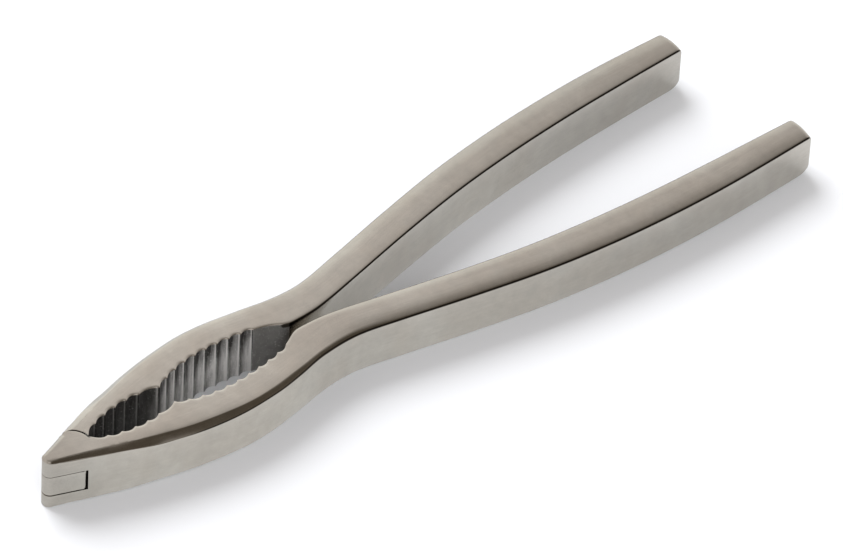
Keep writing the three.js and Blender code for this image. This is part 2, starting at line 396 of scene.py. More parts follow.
outer_spline = through(OUTER_EDGE)
small_pocket = through(SMALL_POCKET)
large_pocket = through(LARGE_POCKET)
handle_inside = through(HANDLE_INSIDE)
print("handle width at the end",
      round(outer_spline(FORK_LENGTH) - handle_inside(FORK_LENGTH), 2))

# %% [markdown]
# The splines don't reach the hinge. There the outline is a round nose with straight
# flanks, and the knuckle is a circle about the pivot. Its angle where it meets the
# flank is worked out, so the two always meet.

# %% The nose, the knuckle and the flutes
NOSE_ANGLE = math.atan(NOSE_SLOPE)
FLANK_START_X = NOSE_RADIUS * (1 - math.sin(NOSE_ANGLE))
FLANK_START_Y = NOSE_RADIUS * math.cos(NOSE_ANGLE)
FLANK_DISTANCE = ((FLANK_START_Y + (PIVOT_X - FLANK_START_X) * NOSE_SLOPE)
                  * math.cos(NOSE_ANGLE))
FLUTE_DEPTH = 0.5
FLUTE_RUNS = [(10.9, 2.8, 5), (24.9, 4.38, 1), (29.28, 2.63, 9)]
FORK_EXTRA_FLUTES = 1


def mix(a, b, t):
    """The value a share of the way from a to b."""
    return a + (b - a) * t


def outer_edge(x):
    """Half width of the arm: the round nose, its straight flank, then the curve."""
    if x < FLANK_START_X:
        return math.sqrt(max(0, NOSE_RADIUS ** 2 - (NOSE_RADIUS - x) ** 2))
    if x < OUTER_EDGE[0][0]:
        t = (x - FLANK_START_X) / (OUTER_EDGE[0][0] - FLANK_START_X)
        return mix(FLANK_START_Y, OUTER_EDGE[0][1], t)
    return outer_spline(x)


def knuckle_turn(radius):
    """Where a circle about the pivot meets the flank of the nose, as an angle."""
    return math.pi / 2 + NOSE_ANGLE - math.acos(FLANK_DISTANCE / radius)


def jaw_edge(x):
    """Half the space between the jaws, measured at the flutes' ridges."""
    return small_pocket(x) if x < LARGE_POCKET[0][0] else large_pocket(x)


def fluted_points(extra, steps):
    """Points along the jaw, from ridge to ridge, each flute a shallow round hollow."""
    runs = FLUTE_RUNS[:-1] + [(*FLUTE_RUNS[-1][:2], FLUTE_RUNS[-1][2] + extra)]
    points = []
    for start, pitch, count in runs:
        for i in range(count * steps):
            across = 2 * (i / steps % 1) - 1
            x = start + i / steps * pitch
            points.append((x, jaw_edge(x) + FLUTE_DEPTH * (1 - across ** 2)))
    return points, start + (FLUTE_RUNS[-1][2] + extra) * pitch


print("knuckle meets the flank at", round(math.degrees(knuckle_turn(KNUCKLE_RADIUS))), "deg")

# %% [markdown]
# ### Ribs
#
# The arm is drawn as a boat builder draws a hull: by ribs. Each rib is a line across
# the arm, from a point on the inner edge to a point on the outer edge. Ribs stand
# close together where the flutes and the round knuckle need it, and further apart
# along the plain handle. At the handle's end they crowd again for its round corners.

# %% Set out the ribs
FLUTE_STEPS = 12
END_PLAN_RADIUS = 0.5
END_ROUND = 2.6
FLAT_TIP = 0.022
NOSE_RIBS = 12
FLANK_RIBS = 10
KNUCKLE_RIBS = 24
PLAIN_RIBS = 16
THROAT_RIBS = 24
HANDLE_RIBS = 70
END_RIBS = 14
BEFORE_FLUTES = 0.3


def corner_cut(radius, distance):
    """How much a rounded corner takes away at a distance from its edge."""
    if distance >= radius:
        return 0.0
    return radius - math.sqrt(max(0.0, radius ** 2 - (radius - distance) ** 2))


def ribs(length, extra_flutes):
    """Every rib as an inside point and an outside point."""
    list_of_ribs = []

    def add(inside_x, inside_y, outside_x):
        list_of_ribs.append(((inside_x, inside_y), (outside_x, outer_edge(outside_x))))

    for i in range(NOSE_RIBS + 1):
        t = i / NOSE_RIBS
        x = FLANK_START_X * (1 - math.cos(t * math.pi / 2)) + FLAT_TIP * (1 - t)
        add(x, -outer_edge(x), x)
    turn = knuckle_turn(KNUCKLE_RADIUS)
    flank_end = PIVOT_X + KNUCKLE_RADIUS * math.cos(turn)
    for i in range(1, FLANK_RIBS):
        x = mix(FLANK_START_X, flank_end, i / FLANK_RIBS)
        add(x, -outer_edge(x), x)
    for i in range(KNUCKLE_RIBS + 1):
        t = i / KNUCKLE_RIBS
        angle = turn * (1 - t)
        add(PIVOT_X + KNUCKLE_RADIUS * math.cos(angle), -KNUCKLE_RADIUS * math.sin(angle),
            mix(flank_end, FLUTE_RUNS[0][0] - BEFORE_FLUTES, t))
    flutes, flutes_end = fluted_points(extra_flutes, FLUTE_STEPS)
    for x, y in flutes:
        add(x, y, x)
    for start, end, count, edge in (
            (flutes_end, JAW_END_X, PLAIN_RIBS, jaw_edge),
            (JAW_END_X, THROAT_END_X, THROAT_RIBS, handle_inside),
            (THROAT_END_X, length - END_ROUND, HANDLE_RIBS, handle_inside)):
        for i in range(count):
            x = mix(start, end, i / count)
            add(x, edge(x), x)
    for i in range(END_RIBS + 1):
        to_end = END_ROUND * (1 - math.sin(i / END_RIBS * math.pi / 2))
        cut = corner_cut(END_PLAN_RADIUS, to_end)
        x = length - to_end
        list_of_ribs.append(((x, handle_inside(x) + cut), (x, outer_edge(x) - cut)))
    return list_of_ribs


print("the fork arm has", len(ribs(FORK_LENGTH, FORK_EXTRA_FLUTES)), "ribs")

# %% [markdown]
# ## The section of an arm
#
# Cut across, an arm is a bar with upright sides. Its top has a gentle crown. Beside the
# nut pockets and round the nose the outer edge was also ground by hand on a belt,
# which left a sloping band with a clear upper edge. The band ends in a crease, and the
# crease has a tiny round of its own, because nothing polished keeps a knife edge. The
# underside is the same but drops less.

# %% Heights and rolls
HINGE_HEIGHT = 12.2
WAIST_HEIGHT = 11.4
END_HEIGHT = 10.6
END_TOP_ROUND = 1.2
OUTER_DROP = [
    (0, 0.24), (3, 0.5), (5, 0.62), (7.5, 0.66), (10.5, 0.8), (14, 0.86), (17.5, 1.15),
    (21, 1.5), (24.5, 1.5), (28, 1.48), (34.7, 1.4), (43, 1.12), (51, 1.1), (58.5, 0.82),
    (65, 0.85), (84, 0.7), (173.4, 0.7)]
BAND_WIDTH = [
    (0, 0.55), (3, 0.95), (7.5, 1.25), (10.5, 1.45), (14, 1.6), (21, 1.5), (28, 1.3),
    (34.7, 1.2), (43, 1.0), (51, 1.0), (58.5, 0.8), (65, 0.8), (173.4, 0.8)]
BAND_POWER = 1.12
CROWN_SHARE = 0.4
JAW_CROWN_WIDTH = 4.5
HANDLE_CROWN_WIDTH = 3.8
INNER_HANDLE_WIDTH = 2.6
INNER_ROLL_WIDTH = 0.7
INNER_DROP = 0.35
JAW_INNER_DROP = 0.12
UNDERSIDE_SHARE = 0.75
EDGE_ROUND = 0.32
TIP_ROUND = 0.2
JAW_RIM_ROUND = 0.08
ROUND_STEPS = 4
WAIST_CHANGE = (JAW_END_X - 4, THROAT_END_X + 12)
outer_drop = through(OUTER_DROP)
band_width = through(BAND_WIDTH)
print("the band drops", round(outer_drop(28), 2), "mm over", band_width(28), "mm at the jaw")

# %% [markdown]
# The crest falls in two straight slopes, from the hinge to the waist and on to the
# handle's end. The drop below it is a sum of three: the crown, the ground band and a
# slight roll at the inner edge. Each fades out at its own distance from an edge.

# %% The shape of the top
def crest_height(x):
    """Height of the top's highest line, falling from the hinge to the handle's end."""
    if x < OUTER_EDGE[0][0]:
        return HINGE_HEIGHT
    if x < JAW_END_X:
        t = (x - OUTER_EDGE[0][0]) / (JAW_END_X - OUTER_EDGE[0][0])
        return mix(HINGE_HEIGHT, WAIST_HEIGHT, t)
    return mix(WAIST_HEIGHT, END_HEIGHT, (x - JAW_END_X) / (FORK_LENGTH - JAW_END_X))


def smooth(x, low, high):
    """A smooth step from 0 to 1 between two places."""
    t = max(0.0, min(1.0, (x - low) / (high - low)))
    return t * t * (3 - 2 * t)


def roll(drop, width, distance, power):
    """A drop at the edge that fades to nothing over a width."""
    return drop * max(0.0, 1 - distance / width) ** power


def handle_share(x):
    """0 in the jaw and 1 in the handle, with a smooth change at the waist."""
    return smooth(x, *WAIST_CHANGE)


def face_drop(x, from_inside, from_outside):
    """How far the face lies below its crest: a gentle crown, then the ground band."""
    knuckle_end = PIVOT_X + KNUCKLE_RADIUS
    handle = handle_share(x)
    crown = outer_drop(x) * mix(CROWN_SHARE * smooth(x, PIVOT_X, 2 * PIVOT_X), 1, handle)
    inner = (mix(JAW_INNER_DROP, INNER_DROP, handle)
             * smooth(x, knuckle_end, 1.5 * knuckle_end))
    return (roll(crown, mix(JAW_CROWN_WIDTH, HANDLE_CROWN_WIDTH, handle), from_outside, 2)
            + roll(outer_drop(x) - crown, band_width(x), from_outside, BAND_POWER)
            + roll(inner, mix(INNER_ROLL_WIDTH, INNER_HANDLE_WIDTH, handle), from_inside, 2))


print("the crest is", round(crest_height(28), 2), "mm high at the jaw and",
      round(crest_height(FORK_LENGTH), 2), "at the end")

# %% [markdown]
# A section becomes a ring of points. They lie on lanes, each at its own distance from
# the inner or the outer edge, so the same lane runs along the whole arm and the ground
# band keeps its clear edge. The small round at each rim is a curve with four
# short sides.

# %% Small rounds at the rims
RIM_CHANGE = (40, 62)


def rounded(corner, before, after):
    """Points of a small round that replaces a corner, from one face to the next."""
    points = []
    for i in range(ROUND_STEPS + 1):
        t = i / ROUND_STEPS
        points.append(tuple(
            (1 - t) ** 2 * a + 2 * t * (1 - t) * c + t ** 2 * b
            for a, c, b in zip(before, corner, after)))
    return points


def outer_edge_round(x):
    """The rim of the outer edge is crisp beside the jaw and rounder on the handle."""
    return mix(TIP_ROUND, EDGE_ROUND, smooth(x, *RIM_CHANGE))


print("rim round", outer_edge_round(0), "mm at the tip and", outer_edge_round(100), "after it")

# %% [markdown]
# The ring goes over the top, down the outer wall, back along the underside and up the
# inner wall. Every section has the same number of points, so they can be joined.

# %% One section as a ring of points
WALL_STEPS = 7
INNER_LANES = (0.5, 0.7, 0.9)
MIDDLE_LANES = 5
OUTER_LANES = (3.4, 2.8, 2.3, 1.9)
BAND_LANES = (1.12, 0.96, 0.7, 0.42)
HANDLE_BAND = 1.5
MIDDLE_ROOM = 1
NARROW_WIDTH = 4.2
RIM_LIMIT = 0.35
RIM_START = (JAW_END_X - 2, JAW_END_X + 4)
RIM_CLEARANCE = 1.2
PAST_BAND = 3


def section(rib, length):
    """A closed ring round the arm at one rib, as points in millimetres.

    The lanes crowd at the band's upper edge. Where the arm is narrow they are squeezed
    together. On the nose the inner edge is a flank too and has a band of its own.
    """
    (ax, ay), (bx, by) = rib
    width = math.hypot(bx - ax, by - ay)
    squeeze = min(1.0, width / (OUTER_LANES[0] + INNER_LANES[-1] + MIDDLE_ROOM))
    nose = 1 - smooth(outer_edge(ax) + ay, 0, 1)
    band = mix(band_width(bx), HANDLE_BAND, handle_share(bx)) * min(1.0, width / NARROW_WIDTH)
    outer_round = min(outer_edge_round(bx) * squeeze, RIM_LIMIT * band)
    inner_round = mix(JAW_RIM_ROUND, EDGE_ROUND, smooth(ax, *RIM_START))
    inner_round = mix(inner_round * squeeze, outer_round, nose)

    def on_face(from_inside, top):
        t = from_inside / width
        x, y = mix(ax, bx, t), mix(ay, by, t)
        from_rim = min(width - from_inside, from_inside + PAST_BAND * (1 - nose))
        if x < NOSE_RADIUS:
            from_rim = min(from_rim, NOSE_RADIUS - math.hypot(x - NOSE_RADIUS, y))
        drop = face_drop(x, from_inside, from_rim)
        to_end = length - x
        if top:
            return x, y, crest_height(x) - drop - corner_cut(END_TOP_ROUND, to_end)
        return x, y, UNDERSIDE_SHARE * drop + corner_cut(END_ROUND, to_end)

    def on_wall(from_inside, height):
        t = from_inside / width
        return mix(ax, bx, t), mix(ay, by, t), height

    lanes = [mix(squeeze * lane, band * band_lane, nose)
             for lane, band_lane in zip(INNER_LANES, reversed(BAND_LANES[:-1]))]
    first, last = lanes[-1], width - squeeze * OUTER_LANES[0]
    lanes += [mix(first, last, (i + 1) / (MIDDLE_LANES + 1)) for i in range(MIDDLE_LANES)]
    lanes += [width - squeeze * lane for lane in OUTER_LANES]
    lanes += [width - band * lane for lane in BAND_LANES]
    lanes = [max(lane, RIM_CLEARANCE * inner_round) for lane in lanes]
    top = [on_face(lane, True) for lane in lanes]
    under = [on_face(lane, False) for lane in reversed(lanes)]
    corners = {}
    for name, lane, rim in (("in", 0.0, inner_round), ("out", width, outer_round)):
        inward = abs(lane - rim)
        high, low = on_face(lane, True)[2], on_face(lane, False)[2]
        corners[name + "_top"] = rounded(
            on_wall(lane, high), on_face(inward, True), on_wall(lane, high - rim))
        corners[name + "_under"] = rounded(
            on_wall(lane, low), on_wall(lane, low + rim), on_face(inward, False))
    ring = list(reversed(corners["in_top"])) + top + corners["out_top"]
    for name, lane in (("out", width), ("in", 0.0)):
        start, end = corners[name + "_top"][-1][2], corners[name + "_under"][0][2]
        wall = [on_wall(lane, mix(start, end, i / WALL_STEPS)) for i in range(1, WALL_STEPS)]
        if name == "out":
            ring += wall + corners["out_under"] + under + list(reversed(corners["in_under"]))
        else:
            ring += list(reversed(wall))
    return ring


print("a section has", len(section(ribs(FORK_LENGTH, 0)[200], FORK_LENGTH)), "points")

# %% [markdown]
# ## Skinning an arm
#
# The blank starts as a flat grid with one row of points for each point of a section
# and one column for each rib. The grid is then wrapped round the ribs like sheet metal
# round a former, its two long edges are merged, and the two ends are filled. A sculptor
# could drag a box into this shape with proportional editing. Wrapping a grid gives the
# same clean mesh of four-sided faces, and it puts every crease where the plan has it.

# %% Wrap a grid round the ribs
MERGE_DISTANCE = 0.0004


def place_mm(x, y, z):
    """A place in metres from distances to the tip, the middle line and the table."""
    return ((x - FORK_LENGTH / 2) * MM, y * MM, z * MM)


def edit(piece):
    """Selects one piece alone and opens it in edit mode with nothing selected."""
    bpy.ops.object.select_all(action="DESELECT")
    bpy.context.view_layer.objects.active = piece
    piece.select_set(True)
    bpy.ops.object.mode_set(mode="EDIT")
    bpy.ops.mesh.select_all(action="DESELECT")


def wrap_arm(name, length, extra_flutes):
    """A closed blank of one arm, on the +Y side of the middle line."""
    rings = [section(rib, length) for rib in ribs(length, extra_flutes)]
    around = len(rings[0])
    bpy.ops.object.select_all(action="DESELECT")
    bpy.ops.mesh.primitive_grid_add(
        x_subdivisions=len(rings) - 1, y_subdivisions=around, size=2)
    arm = bpy.context.object
    arm.name = name
    for vertex in arm.data.vertices:
        rib = round((vertex.co.x + 1) / 2 * (len(rings) - 1))
        lane = round((vertex.co.y + 1) / 2 * around) % around
        vertex.co = place_mm(*rings[rib][lane])
    edit(arm)
    bpy.ops.mesh.select_all(action="SELECT")
    bpy.ops.mesh.remove_doubles(threshold=MERGE_DISTANCE * MM)
    bpy.ops.mesh.select_all(action="DESELECT")
    bpy.ops.mesh.select_mode(type="EDGE")
    bpy.ops.mesh.select_non_manifold()
    bpy.ops.mesh.edge_face_add()
    bpy.ops.mesh.select_all(action="SELECT")
    bpy.ops.mesh.normals_make_consistent(inside=False)
    bpy.ops.object.mode_set(mode="OBJECT")
    return arm


def open_edges(piece):
    """Counts the edges that leave a mesh open, and measures its volume in mm3."""
    mesh = bmesh.new()
    mesh.from_mesh(piece.data)
    count = sum(not e.is_manifold for e in mesh.edges)
    volume = mesh.calc_volume(signed=True) / MM ** 3
    mesh.free()
    return count, round(volume, 1)


tongue_arm = wrap_arm("tongue_arm_finished", TONGUE_LENGTH, 0)
fork_arm = wrap_arm("fork_arm_finished", FORK_LENGTH, FORK_EXTRA_FLUTES)
for piece in (tongue_arm, fork_arm):
    print(piece.name, len(piece.data.polygons), "faces, open edges and mm3:", open_edges(piece))

# %% [markdown]
# The fork arm lies on the other side of the middle line. Mirroring turns a shape
# inside out, so its faces are turned round again straight after.

# %% Mirror the fork arm
edit(fork_arm)
bpy.ops.mesh.select_all(action="SELECT")
bpy.ops.transform.mirror(constraint_axis=(False, True, False), center_override=(0, 0, 0))
bpy.ops.mesh.normals_make_consistent(inside=False)
bpy.ops.object.mode_set(mode="OBJECT")
print("fork arm mirrored:", open_edges(fork_arm))

# %% [markdown]
# ## The hinge
#
# The fork arm's tip is slotted and the tongue arm's tip is thinned to a tongue that
# fills the slot. On the real piece both were milled with a cutter of the knuckle's
# radius, which leaves a round shoulder. So two cutters are modelled, a disc about the
# pivot and a block in front of it, and each one is taken away from the arm.

# %% Make the cutters
REACH = 12
CUTTER_SIDES = 160


def take_away(arm, cutter):
    """Subtracts a cutter from an arm and removes the cutter."""
    cut = arm.modifiers.new("cut", "BOOLEAN")
    cut.operation = "DIFFERENCE"
    cut.solver = "EXACT"
    cut.object = cutter
    bpy.ops.object.select_all(action="DESELECT")
    bpy.context.view_layer.objects.active = arm
    arm.select_set(True)
    bpy.ops.object.modifier_apply(modifier=cut.name)
    bpy.data.objects.remove(cutter)


def disc_cutter(radius, bottom, top, sides=CUTTER_SIDES):
    """A round cutter about the pivot, between two heights."""
    bpy.ops.mesh.primitive_cylinder_add(
        vertices=sides, radius=radius * MM, depth=(top - bottom) * MM,
        location=place_mm(PIVOT_X, 0, (bottom + top) / 2))
    bpy.ops.object.transform_apply(location=True, rotation=True, scale=True)
    return bpy.context.object


def block_cutter(end_x, bottom, top):
    """A square cutter that clears the tip as far back as end_x."""
    bpy.ops.mesh.primitive_cube_add(
        size=1, location=place_mm(end_x - REACH / 2, 0, (bottom + top) / 2),
        scale=(REACH * MM, 2 * REACH * MM, (top - bottom) * MM))
    bpy.ops.object.transform_apply(location=True, rotation=True, scale=True)
    return bpy.context.object


print("the pivot is at", [round(c / MM, 1) for c in place_mm(PIVOT_X, 0, 0)], "mm")

# %% [markdown]
# The fork arm loses the middle of its tip. The tongue arm loses what is below and above
# its tongue. The gaps that stay between the two are seen as dark seams.

# %% Mill the slot and the tongue
KNUCKLE_GAP = 0.34
SHOULDER_GAP = 0.38
LOWER_GAP = 0.3
UPPER_GAP = 0.12
TONGUE_BOTTOM = 3.1
TONGUE_TOP = 8.2


def mill_hinge(arm, bottom, top, gap):
    """Clears room for the other arm's knuckle and nose between two heights."""
    radius = KNUCKLE_RADIUS + gap
    shoulder_x = PIVOT_X + radius * math.cos(knuckle_turn(radius))
    take_away(arm, block_cutter(shoulder_x, bottom, top))
    take_away(arm, disc_cutter(radius, bottom, top))


mill_hinge(fork_arm, TONGUE_BOTTOM, TONGUE_TOP, SHOULDER_GAP)
mill_hinge(tongue_arm, -REACH, TONGUE_BOTTOM + LOWER_GAP, KNUCKLE_GAP)
mill_hinge(tongue_arm, TONGUE_TOP - UPPER_GAP, HINGE_HEIGHT + REACH, KNUCKLE_GAP)
for piece in (fork_arm, tongue_arm):
    print(piece.name, "milled:", open_edges(piece))

# %% [markdown]
# The pin is pressed into the fork arm, so its bore there is blind and a close fit. The
# tongue turns on the pin, so its bore goes right through and has more room.

# %% Bore for the pin
PIN_RADIUS = 2
PIN_PRESS_GAP = 0.05
PIN_RUNNING_GAP = 0.08
PIN_BOTTOM = 0.1
PIN_TOP = 10.5
BORE_SIDES = 96
take_away(fork_arm, disc_cutter(
    PIN_RADIUS + PIN_PRESS_GAP, -REACH, PIN_TOP + PIN_PRESS_GAP, BORE_SIDES))
take_away(tongue_arm, disc_cutter(
    PIN_RADIUS + PIN_RUNNING_GAP, -REACH, HINGE_HEIGHT + REACH, BORE_SIDES))
for piece in (fork_arm, tongue_arm):
    print(piece.name, "bored:", open_edges(piece))

# %% [markdown]
# The cutters leave knife edges. A real cutter's edges are broken with a file, so the
# sharp edges about the hinge are picked by their place and given a narrow bevel.

# %% Break the cut edges
BROKEN_EDGE = 0.05
SHARP_ANGLE = math.radians(50)
WEDGE_ANGLE = math.radians(115)
PAST_KNUCKLE = 0.35


def break_cut_edges(arm):
    """Bevels the sharp edges of the hinge, and leaves alone the thinnest wedges."""
    edit(arm)
    bpy.ops.mesh.select_mode(type="EDGE")
    mesh = bmesh.from_edit_mesh(arm.data)
    limit = (PIVOT_X + KNUCKLE_RADIUS + PAST_KNUCKLE - FORK_LENGTH / 2) * MM
    count = 0
    for edge in mesh.edges:
        near = all(v.co.x < limit for v in edge.verts)
        if near and edge.is_manifold and SHARP_ANGLE < edge.calc_face_angle() < WEDGE_ANGLE:
            edge.select = True
            count += 1
    bmesh.update_edit_mesh(arm.data)
    bpy.ops.mesh.bevel(offset=BROKEN_EDGE * MM, segments=2, profile=0.5,
                       affect="EDGES", clamp_overlap=False)
    bpy.ops.object.mode_set(mode="OBJECT")
    return count


for piece in (fork_arm, tongue_arm):
    print(piece.name, break_cut_edges(piece), "edges broken,", open_edges(piece))

# %% [markdown]
# ## The hinge pin
#
# A plain pin, pressed in from below. Its head is seen only from underneath, where the
# lathe has left a shallow centre hollow. It starts as a cylinder. Both rims are
# bevelled, and the lower end is inset and pushed in, which is what the lathe does.

# %% Turn the pin
PIN_CHAMFER = 0.3
CENTRE_RADIUS = 0.55
CENTRE_DEPTH = 0.35
CENTRE_SLOPE = 0.7
END_FACING = 0.9
FLAT_FACING = 0.99
bpy.ops.object.select_all(action="DESELECT")
bpy.ops.mesh.primitive_cylinder_add(
    vertices=BORE_SIDES, radius=PIN_RADIUS * MM, depth=(PIN_TOP - PIN_BOTTOM) * MM,
    location=place_mm(PIVOT_X, 0, (PIN_BOTTOM + PIN_TOP) / 2))
hinge_pin = bpy.context.object
hinge_pin.name = "hinge_pin_finished"
bpy.ops.object.transform_apply(location=True, rotation=True, scale=True)


def select_faces(piece, wanted):
    """Selects the faces for which wanted(face) is true, in edit mode."""
    bpy.ops.mesh.select_mode(type="FACE")
    mesh = bmesh.from_edit_mesh(piece.data)
    for face in mesh.faces:
        face.select = bool(wanted(face))
    mesh.select_flush_mode()
    bmesh.update_edit_mesh(piece.data)


edit(hinge_pin)
select_faces(hinge_pin, lambda face: abs(face.normal.z) > END_FACING)
bpy.ops.mesh.bevel(offset=PIN_CHAMFER * MM, segments=3, affect="EDGES")
bpy.ops.mesh.select_all(action="DESELECT")
select_faces(hinge_pin, lambda face: face.normal.z < -FLAT_FACING)
bpy.ops.mesh.inset(thickness=(PIN_RADIUS - PIN_CHAMFER - CENTRE_RADIUS) * MM)
bpy.ops.mesh.inset(thickness=CENTRE_RADIUS * CENTRE_SLOPE * MM, depth=-CENTRE_DEPTH * MM)
bpy.ops.object.mode_set(mode="OBJECT")
print("pin turned:", open_edges(hinge_pin))

# %% [markdown]
# ## Lanes for the finish
#
# The arms were polished lengthways on a belt, so their fine streaks follow the curve of
# each arm. A pattern can only follow the surface if the surface carries coordinates of
# its own. So every point stores how far along the arm and how far across it lies, and
# how near the crease, where a dark reflection is painted. In the jaw it also stores its
# share of the way from one flute ridge to the next. Polishing rubbed the ridges, which
# also carry a painted highlight, and the share sets the painted shade across each hollow.

# %% Find the creases and the ridges
CREASE_REACH = 1.8
CREASE_CHANGE = (14, 34)
PLAIN_SHARE = -1


def nearness(distance, reach):
    """1 at a place, falling to 0 at its reach."""
    return max(0.0, 1 - distance / reach)


def crease_at(x, y, z):
    """1 on the top crease of either edge, falling to 0 a little way off. The steel paints a dark
    reflection there.
    """
    x = min(x, FORK_LENGTH)
    rim = CREASE_REACH * outer_edge_round(x)
    crest = crest_height(x)
    outer = math.hypot(outer_edge(x) - abs(y), crest - outer_drop(x) - z)
    inner = math.hypot(handle_inside(x) - y, crest - INNER_DROP - z)
    near = nearness(outer, rim) * smooth(x, *CREASE_CHANGE)
    return max(near, nearness(inner, rim)) if x > JAW_END_X - 1 else near


def flute_share(x, plain_start):
    """0 just past a ridge, rising to 1 at the next one, and -1 where the jaw is plain."""
    if x > plain_start:
        return PLAIN_SHARE
    start, pitch = next(
        run[:2] for run in reversed(FLUTE_RUNS) if x >= run[0] or run is FLUTE_RUNS[0])
    return (x - start) / pitch % 1


print("at 30 mm the share is", round(flute_share(30, JAW_END_X), 2))

# %% [markdown]
# The values are stored point by point, as attributes with a name. The steel asks for
# them by that name.

# %% Store lanes on the arms
UPRIGHT = 0.6
RIDGE_SLACK = 0.01


def lanes_of(piece, side, plain_start):
    """Stores where each point lies, as attributes that the finish reads."""
    mesh = piece.data
    lanes, creases, jaws, flutes = [], [], [], []
    for vertex, normal in zip(mesh.vertices, mesh.vertex_normals):
        x = vertex.co.x / MM + FORK_LENGTH / 2
        y = side * vertex.co.y / MM
        z = vertex.co.z / MM
        lanes += (x, outer_edge(min(x, FORK_LENGTH)) - y, z)
        creases.append(crease_at(x, y, z))
        upright = abs(normal.vector.z) < UPRIGHT
        in_jaw = FLUTE_RUNS[0][0] - 1 < x < JAW_END_X + 1 and upright
        near_jaw_edge = y - jaw_edge(min(x, JAW_END_X)) < 2 * FLUTE_DEPTH
        jaws.append(float(in_jaw and near_jaw_edge))
        flutes.append(flute_share(x + RIDGE_SLACK, plain_start))
    for name, kind, field, values in (
            ("lane", "FLOAT_VECTOR", "vector", lanes), ("crease", "FLOAT", "value", creases),
            ("jaw", "FLOAT", "value", jaws), ("flute", "FLOAT", "value", flutes)):
        mesh.attributes.new(name, kind, "POINT").data.foreach_set(field, values)
    print(piece.name, "jaw points:", int(sum(jaws)))


lanes_of(tongue_arm, 1, fluted_points(0, 1)[1])
lanes_of(fork_arm, -1, fluted_points(FORK_EXTRA_FLUTES, 1)[1])

# %% [markdown]
# The faces are small but flat. Smooth shading blends each one into the next, and leaves
# an edge crisp where two faces meet at a sharp enough angle.

# %% Shade the pieces smooth
CRISP_DEGREES = 32
for piece in (tongue_arm, fork_arm, hinge_pin):
    bpy.ops.object.select_all(action="DESELECT")
    bpy.context.view_layer.objects.active = piece
    piece.select_set(True)
    bpy.ops.object.shade_smooth_by_angle(angle=math.radians(CRISP_DEGREES))
    print(piece.name, "smooth, crisp over", CRISP_DEGREES, "degrees")

# %% [markdown]
# ## Satin steel
#
# The finish is satin: cast steel ground on a belt and lightly buffed. It is a metal
# with a warm grey tint and a middling roughness. What makes it real is that neither is
# even. Broad clouds come from buffing by hand, fine streaks run along the arm, and
# specks are pores of the casting. A low, wide ripple in the bump keeps the reflections
# from looking like glass.
#
# The walls of the flutes are the raw casting. They are dull, with uneven curtains of
# paler metal, and each ridge has been rubbed. Their dark colour is painted shade: darker
# towards one side of each hollow, towards the top and all through the small pocket. Each
# rubbed ridge also gets a painted highlight, a bright line. Only the arms have flutes, so
# they come first, as a function of their own.

# %% The raw walls in the jaw, with painted shade
HOLLOW_SHADE = (0.05, 0.048, 0.045, 1)
HOLLOW_PALE = (0.92, 0.91, 0.89, 1)
CURTAIN_STRETCH = (1.0, 0.3, 0.12)
WALL_HEIGHTS = (11.5, 4.0)
LARGE_POCKET_START = (26.5, 31)
RUBBED_HIGHLIGHT_SHARE = (0.80, 0.94)


def flute_walls_and_shade(g, place, lane, blotches):
    """Colour of the raw jaw walls with painted shade and highlight, share of rubbed ridge, and
    curtain pattern.
    """
    curtain_place = g.add("VectorMath", {"operation": "MULTIPLY"},
                          {0: lane, 1: CURTAIN_STRETCH})
    curtain = g.noise(curtain_place, 1.1, 4.0, 0.65)
    flute = g.attribute("flute")
    from_top = g.step(g.part(lane, "Z"), *WALL_HEIGHTS)
    large = g.step(g.part(lane, "X"), *LARGE_POCKET_START)
    ridge = g.step(flute, *RUBBED_HIGHLIGHT_SHARE)
    # Painted shade: the walls darken towards one side of each hollow and towards the top, and each
    # rubbed ridge gets a painted bright line.
    tone = 0.65 * g.step(flute, 0.1, 0.9) + 0.5 * from_top + 1.6 * curtain - 1.02
    tone = g.add("Math", {"operation": "MAXIMUM"}, {0: tone, 1: 0.0})
    # Painted shade: the small pocket is much darker, and its ridge lines dimmer.
    tone = tone * (0.14 + 0.86 * large) + 0.6 * ridge * (0.4 + 0.6 * large)
    plain = g.step(flute, -0.2, -0.8)
    tone = tone * (1.0 - plain) + (0.16 + 0.30 * blotches) * plain
    specks = g.step(g.noise(place, 3.2, 2.0, 0.6), 0.60, 0.70)
    return g.blend(tone + 0.35 * specks, HOLLOW_SHADE, HOLLOW_PALE), ridge, curtain


print("walls from grey", HOLLOW_SHADE[0], "to grey", HOLLOW_PALE[0])

# %% [markdown]
# The steel is painted slowly darker along an arm, as shade. It darkens towards the
# handle's end, most of all at the tongue arm's end, and is a little darker at the tip and
# at the waist.

# %% Painted shade along an arm
TIP_SPAN = (1, 16)
WAIST_START = (48, 62)
WAIST_END = (70, 84)
HANDLE_SHADE_SPAN = (50, 130)
END_SHADE_BEHIND = (20, 70)
END_SHADE_BESIDE = (2, 12)


def shade_along_arm(g, place, lane):
    """Painted shade along an arm: darker towards the handle's end, most at the tongue arm's, and a
    little at the tip and the waist.
    """
    along = g.part(lane, "X")
    waist = g.step(along, *WAIST_START) - g.step(along, *WAIST_END)
    end_shade = (g.step(g.part(place, "X"), *END_SHADE_BEHIND)
                * g.step(g.part(place, "Y"), *END_SHADE_BESIDE))
    along_shade = g.step(along, *HANDLE_SHADE_SPAN, 1.0, 0.84) * g.step(along, *TIP_SPAN, 0.86, 1.0)
    # Painted shade: the colour is multiplied down towards the end, the tip and the waist.
    return along_shade - 0.07 * waist - 0.08 * end_shade


print("the steel darkens slowly from", *HANDLE_SHADE_SPAN, "mm behind the tip")

# %% [markdown]
# Now the steel itself. The pin gets the same mix without the parts that need lanes.

# %% Mix the steel
STEEL_LIGHT = (0.735, 0.71, 0.66, 1)
STEEL_WARM = (0.665, 0.62, 0.56, 1)
